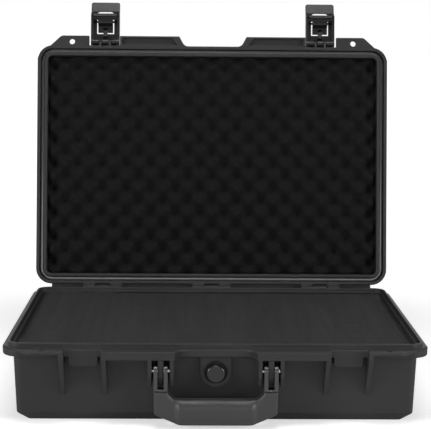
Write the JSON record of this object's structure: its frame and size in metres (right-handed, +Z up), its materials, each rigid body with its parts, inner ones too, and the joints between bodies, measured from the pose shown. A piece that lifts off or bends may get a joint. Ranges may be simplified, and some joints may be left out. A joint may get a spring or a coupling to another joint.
{
  "type": "waterproof hard case",
  "caption": "Moulded waterproof equipment case standing open, with a hinged lid, press latches, folding handle, purge valve, sealing gasket and foam lining.",
  "frame": {"origin": "middle of the base's underside, where the case stands", "axes": "+X to the right seen from the front, +Y to the hinges at the back, +Z up"},
  "size_m": [0.5, 0.4618, 0.4954],
  "materials": {
    "shell": "fine moulded grain",
    "latch": "smooth moulded",
    "gasket": "smooth, slightly glossy",
    "lid_foam": "open-cell foam",
    "base_foam": "open-cell foam",
    "steel": "ground",
    "dark_steel": "blackened",
    "handle": "fine moulded grain",
    "grip": "satin overmould",
    "valve": "polished moulding",
    "seal": "smooth"
  },
  "bodies": {
    "base": {"base_shell": "shell", "base_pad": "base_foam", "pick_foam": "base_foam", "hinge_pin_left": "steel", "hinge_pin_centre": "steel", "hinge_pin_right": "steel", "handle_pin_left": "steel", "handle_pin_right": "steel", "valve_body": "valve", "valve_seal": "seal", "valve_nut": "valve"},
    "lid": {"lid_shell": "shell", "lid_gasket": "gasket", "lid_foam": "lid_foam", "latch_pin_left": "dark_steel", "latch_pin_right": "dark_steel"},
    "handle": {"handle_frame": "handle", "handle_grip": "grip"},
    "knob": {"valve_knob": "valve"},
    "latch_left": {"latch_lever_left": "latch", "button_pin_left": "dark_steel", "button_spring_left": "dark_steel"},
    "button_left": {"latch_button_left": "latch"},
    "latch_right": {"latch_lever_right": "latch", "button_pin_right": "dark_steel", "button_spring_right": "dark_steel"},
    "button_right": {"latch_button_right": "latch"}
  },
  "joints": [
    {"name": "lid_hinge", "type": "hinge", "parent": "base", "child": "lid", "pos_m": [0, 0.1768, 0.092], "axis": [1, 0, 0], "range_deg": [0, 99]},
    {"name": "handle_swing", "type": "hinge", "parent": "base", "child": "handle", "pos_m": [0, -0.179, 0.0688], "axis": [-1, 0, 0], "range_deg": [0, 100]},
    {"name": "knob_turn", "type": "hinge", "parent": "base", "child": "knob", "pos_m": [0, -0.166, 0.0627], "axis": [0, -1, 0], "range_deg": [0, 180]},
    {"name": "latch_swing_left", "type": "hinge", "parent": "lid", "child": "latch_left", "pos_m": [-0.1546, 0.24693, 0.4389], "axis": [1, 0, 0], "range_deg": [0, 90]},
    {"name": "button_press_left", "type": "hinge", "parent": "latch_left", "child": "button_left", "pos_m": [-0.1546, 0.25147, 0.46754], "axis": [-1, 0, 0], "range_deg": [0, 18], "stiffness_Nm_per_rad": 0.3, "springref_deg": -5.73, "deforming": ["button_spring_left"]},
    {"name": "latch_swing_right", "type": "hinge", "parent": "lid", "child": "latch_right", "pos_m": [0.1546, 0.24693, 0.4389], "axis": [1, 0, 0], "range_deg": [0, 90]},
    {"name": "button_press_right", "type": "hinge", "parent": "latch_right", "child": "button_right", "pos_m": [0.1546, 0.25147, 0.46754], "axis": [-1, 0, 0], "range_deg": [0, 18], "stiffness_Nm_per_rad": 0.3, "springref_deg": -5.73, "deforming": ["button_spring_right"]}
  ]
}
